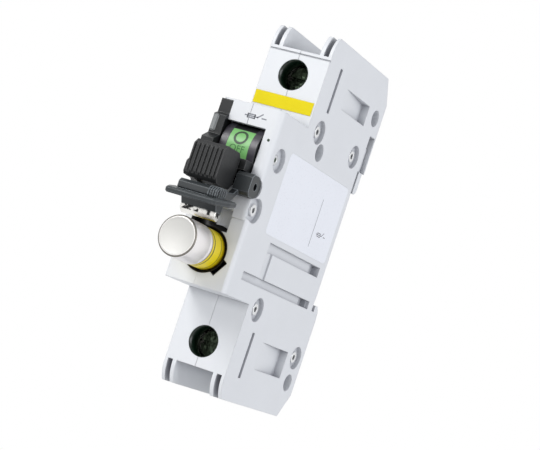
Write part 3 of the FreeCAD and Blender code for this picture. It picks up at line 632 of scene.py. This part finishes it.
def line_walls(work, x, z, front, back, sides):
    """Dark sheets of painted shade on the walls of a square pocket in the front that sides names."""
    left, right = x[0] + LINER_GAP, x[1] - LINER_GAP
    low, high = z[0] + LINER_GAP, z[1] - LINER_GAP
    rear = back - LINER_GAP
    walls = {
        "left": ((left, front, low), (left + LINER_WALL, rear, high)),
        "right": ((right - LINER_WALL, front, low), (right, rear, high)),
        "low": ((left, front, low), (right, rear, low + LINER_WALL)),
        "high": ((left, front, high - LINER_WALL), (right, rear, high)),
    }
    for side in sides:
        add_sheet(work, *walls[side])


def line_floor(work, outline, back):
    """A dark sheet of painted shade on the floor of a pocket, inside an outline of (x, z) points."""
    rear = back - LINER_GAP
    face = work.faces.new([work.verts.new((x, rear, z)) for x, z in outline])
    grown = bmesh.ops.extrude_face_region(work, geom=[face])
    for item in grown["geom"]:
        if isinstance(item, bmesh.types.BMVert):
            item.co.y = rear - LINER_WALL


def pocket_floor(centre):
    """The part of the pocket's floor painted black as shade: its left end, and a band along the mouth to the
    right of it.
    """
    left, right = POCKET_X[0] + POCKET_INSET, POCKET_X[1] - POCKET_INSET
    low, high = POCKET_Z[0] + POCKET_INSET, POCKET_Z[1] - POCKET_INSET
    outline = [(left, low), (right, low)]
    for degrees in POCKET_BAND_DEGREES:
        turn = math.radians(degrees)
        x = POCKET_BAND_RADIUS * math.cos(turn)
        outline.append((x, centre.z + POCKET_BAND_RADIUS * math.sin(turn)))
    return outline + [(POCKET_BAND_END_X, high), (left, high)]


def mouth_profile():
    """Half the section of the ring of painted shade that lines the mouth and the start of the bore."""
    bore, mouth = BORE_RADIUS - LINER_GAP, MOUTH_RADIUS - LINER_GAP
    front, floor = MOUTH_FRONT + LINER_GAP, MOUTH_FLOOR - LINER_GAP
    rear = floor + LINER_DEPTH
    inner_bore, inner_mouth, inner_floor = bore - LINER_WALL, mouth - LINER_WALL, floor - LINER_WALL
    outside = [(mouth, front), (mouth, floor), (bore, floor), (bore, rear)]
    inside = [(inner_bore, rear), (inner_bore, inner_floor), (inner_mouth, inner_floor), (inner_mouth, front)]
    return outside + inside + [(mouth, front)]


def mouth_shade_lining(materials):
    """Painted shade, a black lining round the fuse's mouth: a ring, the pocket above it and the notch below
    it.
    """
    centre = middle_of(*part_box("fuse_tube"))
    front = MOUTH_FRONT + LINER_GAP
    low, high = centre.z - NOTCH_HALF, centre.z + NOTCH_HALF
    left, right = NOTCH_X

    def build(work):
        line_walls(work, NOTCH_X, (low, high), front, NOTCH_BACK, ("right", "low", "high"))
        line_floor(work, [(left, low), (right, low), (right, high), (left, high)], NOTCH_BACK)
        turn = Matrix.Rotation(NOTCH_TURN, 3, "Y")
        bmesh.ops.rotate(work, verts=work.verts[:], cent=(0.0, 0.0, centre.z), matrix=turn)
        line_walls(work, POCKET_X, POCKET_Z, front, POCKET_BACK, ("left",))
        line_floor(work, pocket_floor(centre), POCKET_BACK)
        turn_profile(work, mouth_profile(), centre)

    add_piece("mouth_shade_lining", build, materials["mouth_shade_liner"], "housing")


# Front of the housing

def seam_fill(materials):
    """Flash that closes most of the seam's depth where the two halves meet tightly on the front."""
    runs = [(end_front(), *ends) for ends in LOWER_SEAM_Z]
    runs.append((mid_front(), *MID_SEAM_Z))

    def build(work):
        for face, low, high in runs:
            near, far = face + SEAM_SINK[0], face + SEAM_SINK[1]
            add_sheet(work, (-SEAM_HALF, near, low), (SEAM_HALF, far, high))

    add_piece("seam_fill", build, materials["housing"], "housing")


def cheek_hole_shade(materials):
    """Painted shade: a small dark disc for the hole in the front to the right of the drum."""
    near, far = mid_front() - INK_LIFT, mid_front() + LINER_WALL
    centre = Vector((CHEEK_DOT[0], 0.0, CHEEK_DOT[1]))
    profile = [(0.0, near), (CHEEK_DOT_RADIUS, near), (CHEEK_DOT_RADIUS, far)]
    add_piece("cheek_hole_shade", lambda work: turn_profile(work, profile, centre, DOT_STEPS), materials["ink_and_hole_shade"],
              "housing")


def shaded_face_strip(materials):
    """The grey strip on the step of the dark block at the left of the drum: painted shade, the tone of a pale
    face in shadow there.
    """
    low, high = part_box("indicator_lens")
    front = low.y + STRIP_SETBACK
    left, right = low.x + STRIP_MARGIN, low.x + (high.x - low.x) * STRIP_SHARE

    def build(work):
        add_sheet(work, (left, front - STRIP_HALF_DEPTH, high.z - STRIP_DROP[0]),
                  (right, front + STRIP_HALF_DEPTH, high.z - STRIP_DROP[1]))
        bmesh.ops.bevel(work, geom=work.edges[:], offset=STRIP_BEVEL, segments=STRIP_BEVEL_PARTS,
                        affect="EDGES")

    add_piece("shaded_face_strip", build, materials["shade_grey_strip"], "housing")


# Fuse cover and its clip

def cover_ribs(materials):
    """Grip ribs round the front right corner of the cover's block."""
    front, rear = BLOCK_Y[0] - RIB_RISE, BLOCK_Y[1]
    inner, outer = BLOCK_SIDE_X - RIB_RISE, BLOCK_SIDE_X + RIB_RISE
    low, high = BLOCK_Z[0] - RIB_RISE, BLOCK_Z[1] + RIB_RISE
    lower_corner, upper_corner = BLOCK_Z[0] + BLOCK_BEVEL, BLOCK_Z[1] - BLOCK_BEVEL
    outline = [(rear, high), (front + BLOCK_BEVEL, high), (front, upper_corner), (front, lower_corner),
               (front + BLOCK_BEVEL, low), (rear, low)]

    def build(work):
        for i in range(RIB_COUNT):
            left = RIB_START_X + RIB_PITCH_X * i
            add_prism(work, outline, left, left + RIB_WIDTH)
        for i in range(RIB_COUNT):
            y = SIDE_RIB_START_Y + SIDE_RIB_PITCH_Y * i
            add_sheet(work, (inner, y, low), (outer, y + SIDE_RIB_WIDTH, high))

    add_piece("cover_ribs", build, materials["cover_plastic"], "cover")


def clip_lip(materials):
    """The rolled lower edge of the puller clip, along an arc about the hinge, so that it clears the fuse."""
    low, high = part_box("fuse_puller_clip")
    front, rear, top = low.y + LIP_INSET, high.y - LIP_INSET, low.z + LIP_TOP
    outline = [(front, top)]
    outline += [(front + behind, low.z - drop) for behind, drop in LIP_DROPS]
    outline += [(rear, low.z - LIP_REAR_DROP), (rear, top)]
    left, right = low.x + LIP_SIDE_INSET, high.x - LIP_SIDE_INSET
    add_piece("clip_lip", lambda work: add_prism(work, outline, left, right), materials["bright_nickel"],
              "cover")


# Rail clip

def clip_coil(materials):
    """The round wire spring behind the rail clip; the real one shortens as the clip is pushed up, while this
    coil keeps its length.
    """
    low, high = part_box("rail_clip_spring")
    centre = middle_of(low, high)
    radius = (high.x - low.x) / 2 - WIRE_RADIUS
    start, rise = low.z + WIRE_RADIUS, high.z - low.z - 2 * WIRE_RADIUS
    count = COIL_TURNS * COIL_STEPS
    up = Vector((0.0, 0.0, 1.0))
    angles = [2 * math.pi * j / WIRE_SIDES for j in range(WIRE_SIDES)]

    def wire_ring(work, i):
        turn = 2 * math.pi * i / COIL_STEPS
        out = Vector((math.cos(turn), math.sin(turn), 0.0))
        middle = Vector((centre.x, centre.y, start + rise * i / count)) + out * radius
        return [work.verts.new(middle + (out * math.cos(a) + up * math.sin(a)) * WIRE_RADIUS) for a in angles]

    def build(work):
        rings = [wire_ring(work, i) for i in range(count + 1)]
        for near, far in zip(rings, rings[1:]):
            join_rows(work, near, far)
        smooth_all(work)
        for end in (rings[0][::-1], rings[-1]):
            work.faces.new(end).smooth = False

    piece = add_piece("clip_coil", build, materials["steel"], "housing")
    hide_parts("rail_clip_spring")
    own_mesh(piece)


# Switch drum

def on_drum(x, along, lift=FLAG_LIFT):
    """A point on the drum: x across it, along round it from straight ahead, upwards."""
    angle = along / DRUM_RADIUS
    radius = DRUM_RADIUS + lift
    return Vector((x, DRUM_AXIS.y - radius * math.cos(angle), DRUM_AXIS.z + radius * math.sin(angle)))


def drum_cheeks(materials):
    """The polished bands of the drum on both sides of the flags, lighter and more violet than the toggle's
    black plastic as painted sheen.
    """
    step = 2 * DRUM_BAND_REACH / DRUM_BAND_PARTS

    def build(work):
        for side in (-1, 1):
            rows = []
            for i in range(DRUM_BAND_PARTS + 1):
                points = [on_drum(side * x, step * i - DRUM_BAND_REACH, DRUM_BAND_LIFT) for x in DRUM_BAND_X]
                rows.append([work.verts.new(point) for point in points])
            for near, far in zip(rows, rows[1:]):
                join_rows(work, near, far, closed=False)
        smooth_all(work)

    add_piece("drum_cheeks", build, materials["drum_gloss_and_sheen"], "toggle")


def flag_ring(materials):
    """The O of the flag, a flat ring laid round the drum."""
    turns = [2 * math.pi * i / SMALL_TURN_STEPS for i in range(SMALL_TURN_STEPS)]

    def build(work):
        rings = []
        for radius in (RING_RADIUS - RING_WIDTH / 2, RING_RADIUS + RING_WIDTH / 2):
            points = [on_drum(radius * math.cos(t), RING_ALONG + radius * math.sin(t)) for t in turns]
            rings.append([work.verts.new(point) for point in points])
        join_rows(work, *rings)

    add_piece("flag_ring", build, materials["ink_and_hole_shade"], "toggle")


def flag_letters(materials):
    """The generic word OFF, wrapped round the drum below the ring."""
    curve = bpy.data.curves.new("flag_letters", "FONT")
    curve.body = "OFF"
    curve.size = LETTER_HEIGHT / LETTER_SHARE
    curve.align_x = "CENTER"
    curve.resolution_u = LETTER_PARTS
    source = bpy.data.objects.new("letters_source", curve)
    bpy.context.scene.collection.objects.link(source)
    bpy.context.view_layer.update()
    mesh = bpy.data.meshes.new_from_object(source)
    bpy.data.objects.remove(source)

    def build(work):
        work.from_mesh(mesh)
        for vert in work.verts:
            vert.co = on_drum(vert.co.x, LETTERS_ALONG + vert.co.y)

    add_piece("flag_letters", build, materials["pale_ink"], "toggle")


def pin_rivet(materials):
    """The flared, hollow end of the toggle's pin in its recess at the right side, with a dark disc of painted
    shade in its hole.
    """
    low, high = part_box("toggle_pin")
    centre = middle_of(low, high)
    radius = (high.z - low.z) / 2
    hole = radius * PIN_HOLE_SHARE
    rim, lip = PIN_RISE * PIN_RIM_SHARE, PIN_RISE * PIN_LIP_SHARE
    ring = [(radius, -PIN_SINK), (radius, rim), (radius - PIN_OUTER_BEVEL, PIN_RISE),
            (hole + PIN_INNER_BEVEL, PIN_RISE), (hole, lip), (hole, -PIN_SINK), (radius, -PIN_SINK)]
    shade = [(0.0, PIN_SHADE_LIFT), (hole, PIN_SHADE_LIFT), (hole, -PIN_SINK)]

    def build(profile):
        def at_right_side(work):
            turn_profile(work, profile, Vector((0.0, 0.0, 0.0)), SMALL_TURN_STEPS)
            bmesh.ops.rotate(work, verts=work.verts[:], matrix=Matrix.Rotation(-math.pi / 2, 3, "Z"))
            bmesh.ops.translate(work, verts=work.verts[:], vec=(high.x, centre.y, centre.z))
        return at_right_side

    add_piece("pin_rivet", build(ring), materials["rivet_steel"], "housing")
    # Painted shade at the bottom of the pin's hollow end
    add_piece("pin_hole_shade", build(shade), materials["ink_and_hole_shade"], "housing")


# Generic print

def symbol_strokes(size, at):
    """A generic fuse and switch symbol, size wide, as line segments that start at a point."""
    left, right, half = 0.12, 0.46, 0.075
    hinge, tip, lift, contact = 0.60, 0.80, 0.17, 0.82
    corners = [(left, -half), (right, -half), (right, half), (left, half)]
    strokes = [((0.0, 0.0), (hinge, 0.0)), ((hinge, 0.0), (tip, lift)), ((contact, 0.0), (1.0, 0.0))]
    strokes += zip(corners, corners[1:] + corners[:1])
    return [tuple((at[0] + x * size, at[1] + y * size) for x, y in stroke) for stroke in strokes]


def draw_strokes(name, strokes, width, place, material):
    """Thin flat lines; place turns a point of the drawing into a point on the object."""
    def build(work):
        for start, end in strokes:
            a, b = Vector(start), Vector(end)
            along = (b - a).normalized() * width / 2
            across = Vector((-along.y, along.x))
            corners = (a - along - across, b + along - across, b + along + across, a - along + across)
            work.faces.new([work.verts.new(place(corner)) for corner in corners])

    add_piece(name, build, material, "housing")


def side_label_print(materials):
    """The divider and the symbol on the side label, which is otherwise bare."""
    low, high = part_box("side_label")
    left, right = low.y + LABEL_MARGIN, high.y - LABEL_MARGIN
    bottom, top = low.z + LABEL_MARGIN, high.z - LABEL_MARGIN
    split = left + (right - left) * LABEL_SPLIT
    strokes = [((split, bottom + LABEL_SPLIT_GAPS[0]), (split, top - LABEL_SPLIT_GAPS[1]))]
    strokes += symbol_strokes(LABEL_SYMBOL_WIDTH, LABEL_SYMBOL_PLACE)
    draw_strokes("side_label_print", strokes, LABEL_LINE, lambda p: (high.x + INK_LIFT, p.x, p.y),
                 materials["label_ink"])


def front_symbol(materials):
    """The same symbol printed on the front above the drum."""
    y = mid_front() - INK_LIFT
    strokes = symbol_strokes(SYMBOL_WIDTH, SYMBOL_PLACE)
    draw_strokes("front_symbol", strokes, SYMBOL_LINE, lambda p: (p.x, y, p.y), materials["grey_line"])


# Stage

def add_camera():
    data = bpy.data.cameras.new("camera")
    data.lens = CAMERA_LENS
    data.sensor_width = SENSOR_WIDTH
    data.clip_start = NEAR_CLIP
    camera = bpy.data.objects.new("camera", data)
    bpy.context.scene.collection.objects.link(camera)
    right, down, ahead = Vector(CAMERA_RIGHT), Vector(CAMERA_DOWN), Vector(CAMERA_AHEAD)
    turn = Matrix((right, -down, -ahead)).transposed().to_4x4()
    camera.matrix_world = Matrix.Translation(CAMERA_PLACE) @ turn
    bpy.context.scene.camera = camera


def add_lamps():
    for name, place, size, power, colour in LAMPS:
        data = bpy.data.lights.new(name, "AREA")
        data.shape = "DISK"
        data.size = size
        data.energy = power
        data.color = colour
        lamp = bpy.data.objects.new(name, data)
        bpy.context.scene.collection.objects.link(lamp)
        aim = Vector(LAMP_AIM) - Vector(place)
        lamp.matrix_world = Matrix.Translation(place) @ aim.to_track_quat("-Z", "Y").to_matrix().to_4x4()


def add_either(nodes, links, first, second):
    """One where either input is one."""
    larger = nodes.new("ShaderNodeMath")
    larger.operation = "MAXIMUM"
    links.new(first, larger.inputs[0])
    links.new(second, larger.inputs[1])
    return larger.outputs[0]


def white_for_camera(nodes, links, lit, output):
    """White to the camera, mirrors and glass; otherwise the lit shader, so that shadows stay soft."""
    path = nodes.new("ShaderNodeLightPath")
    clear = add_either(nodes, links, path.outputs["Is Glossy Ray"], path.outputs["Is Transmission Ray"])
    seen = add_either(nodes, links, path.outputs["Is Camera Ray"], clear)
    is_world = lit.bl_idname == "ShaderNodeBackground"
    plain = nodes.new("ShaderNodeBackground" if is_world else "ShaderNodeEmission")
    plain.inputs["Color"].default_value = WHITE
    plain.inputs["Strength"].default_value = 1.0
    mix = nodes.new("ShaderNodeMixShader")
    links.new(seen, mix.inputs["Fac"])
    links.new(lit.outputs[0], mix.inputs[1])
    links.new(plain.outputs[0], mix.inputs[2])
    links.new(mix.outputs[0], output.inputs["Surface"])


def add_floor():
    half, z = FLOOR_HALF, CAD_BOX[0][2] - FLOOR_DROP
    corners = [(-half, -half, z), (half, -half, z), (half, half, z), (-half, half, z)]
    mesh = bpy.data.meshes.new("floor")
    mesh.from_pydata(corners, [], [(0, 1, 2, 3)])
    floor = bpy.data.objects.new("floor", mesh)
    bpy.context.scene.collection.objects.link(floor)
    material, nodes, links, shader = new_material("floor_paint")
    shader.inputs["Base Color"].default_value = FLOOR_COLOUR
    shader.inputs["Roughness"].default_value = FLOOR_ROUGHNESS
    white_for_camera(nodes, links, shader, nodes["Material Output"])
    mesh.materials.append(material)


def add_world():
    world = bpy.data.worlds.new("studio")
    bpy.context.scene.world = world
    world.use_nodes = True
    nodes, links = world.node_tree.nodes, world.node_tree.links
    room = nodes["Background"]
    room.inputs["Color"].default_value = ROOM_COLOUR
    room.inputs["Strength"].default_value = ROOM_STRENGTH
    white_for_camera(nodes, links, room, nodes["World Output"])


def main():
    bpy.context.scene.view_settings.view_transform = "Standard"
    add_camera()
    add_world()
    add_lamps()
    add_floor()
    materials = {**make_plastics(), **make_metals(), **make_labels(), **make_linings()}
    dress_nodes(materials)
    drum_cheeks(materials)
    flag_ring(materials)
    flag_letters(materials)
    front_cap(materials)
    cap_rim_shade(materials)
    sleeve_lines(materials)
    access_hole_shades(materials)
    mouth_shade_lining(materials)
    seam_fill(materials)
    cheek_hole_shade(materials)
    shaded_face_strip(materials)
    cover_ribs(materials)
    clip_lip(materials)
    clip_coil(materials)
    side_label_print(materials)
    front_symbol(materials)
    pin_rivet(materials)


main()
